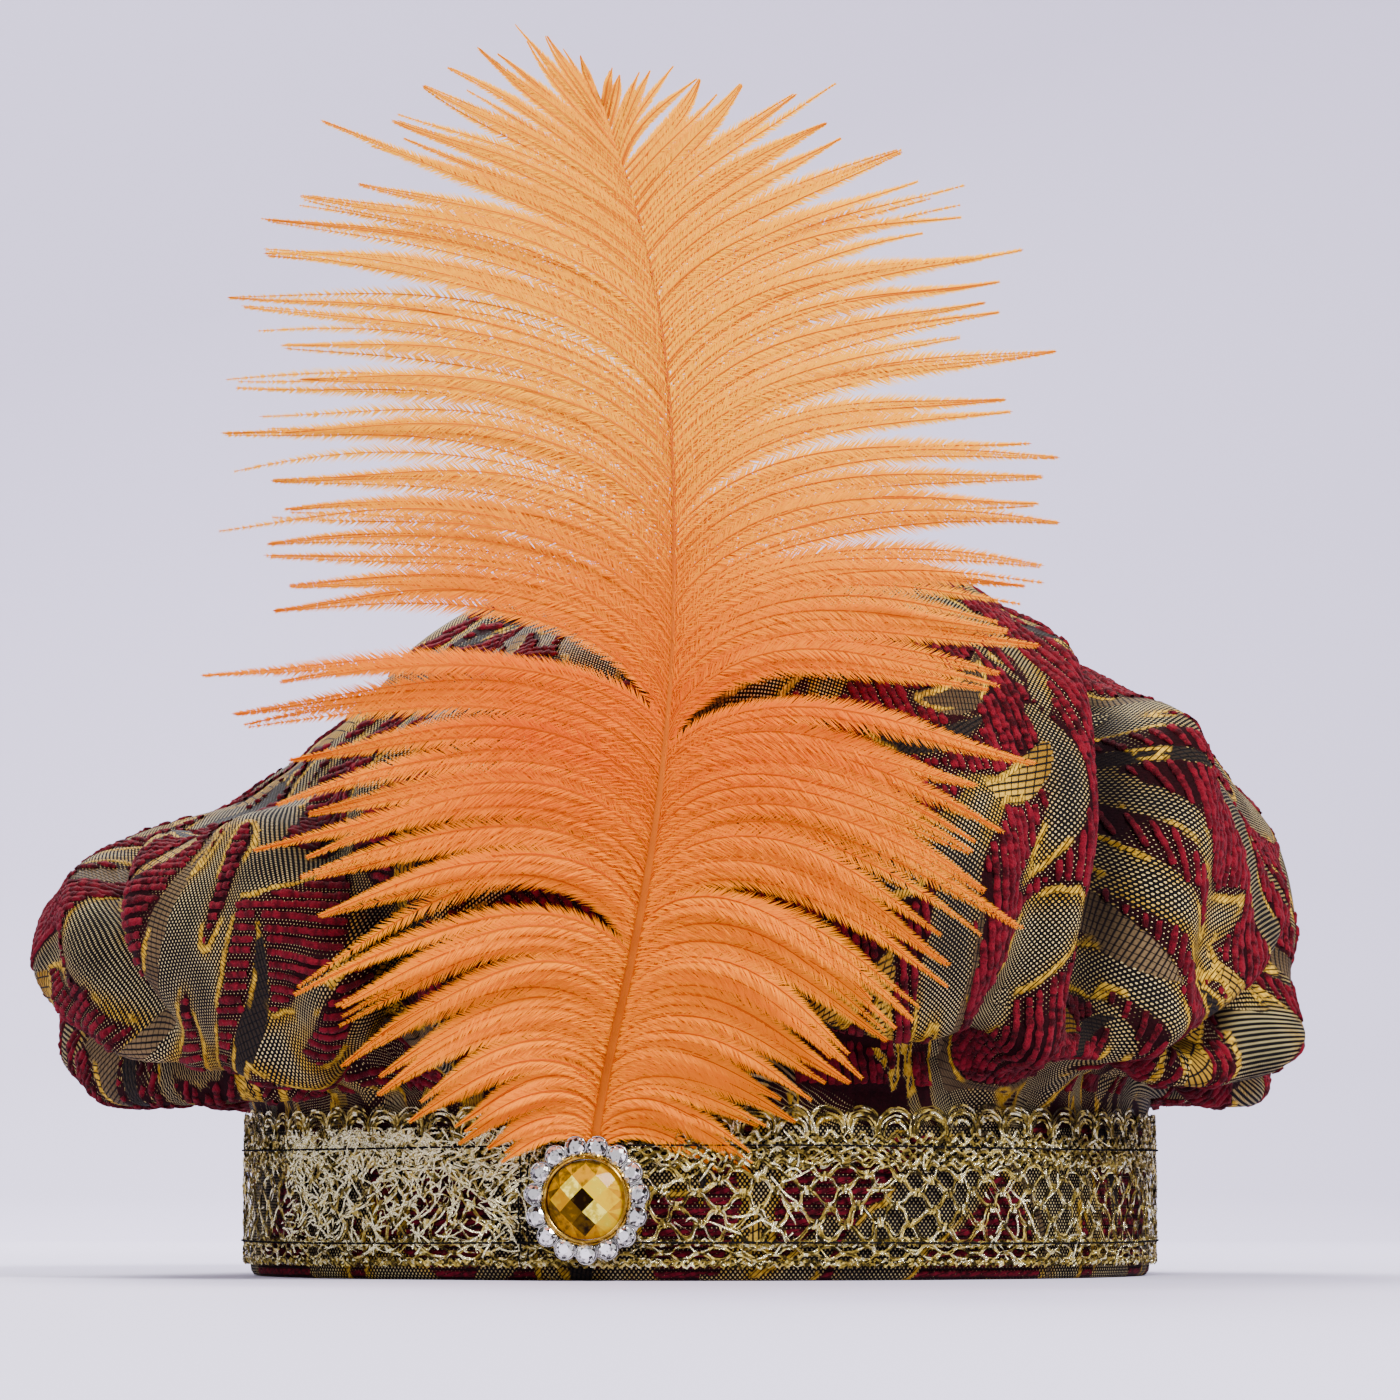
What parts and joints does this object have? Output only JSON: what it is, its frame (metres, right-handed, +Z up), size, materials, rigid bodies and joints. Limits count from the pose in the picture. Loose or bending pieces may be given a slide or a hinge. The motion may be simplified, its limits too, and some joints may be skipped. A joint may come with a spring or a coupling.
{
  "type": "renaissance feather hat",
  "caption": "Soft gathered brocade costume hat on a fabric headband covered with metallic lace, with a jewelled brooch and an upright dyed plume at the front",
  "frame": {"origin": "centre of the headband's lower edge, on the plane that the hat rests on, where the wearer's head goes in", "axes": "+Z up through the crown, -Y towards the front with the brooch and plume, +X towards the viewer's right"},
  "size_m": [0.2638, 0.2616, 0.2297],
  "materials": {
    "brocade": "burgundy chenille figures on a black jacquard ground with small gold lattice dots",
    "band_brocade": "the crown's brocade, folded flat",
    "gold_lace": "flat metallic gold yarn, sparkling, with black machine stitching",
    "setting_metal": "polished silver colour with a serrated rim",
    "amber_glass": "foil-backed amber glass with a chequerboard cut",
    "crystal": "clear foil-backed rhinestone",
    "dyed_plume": "dyed orange ostrich plume, translucent and fluffy"
  },
  "bodies": {
    "root": {"crown": "brocade", "headband": "band_brocade", "lace_trim": "gold_lace", "brooch_setting": "setting_metal", "brooch_gem": "amber_glass", "plume": "dyed_plume", "rhinestone_01": "crystal", "rhinestone_02": "crystal", "rhinestone_03": "crystal", "rhinestone_04": "crystal", "rhinestone_05": "crystal", "rhinestone_06": "crystal", "rhinestone_07": "crystal", "rhinestone_08": "crystal", "rhinestone_09": "crystal", "rhinestone_10": "crystal", "rhinestone_11": "crystal", "rhinestone_12": "crystal", "rhinestone_13": "crystal", "rhinestone_14": "crystal", "rhinestone_15": "crystal"}
  },
  "joints": []
}
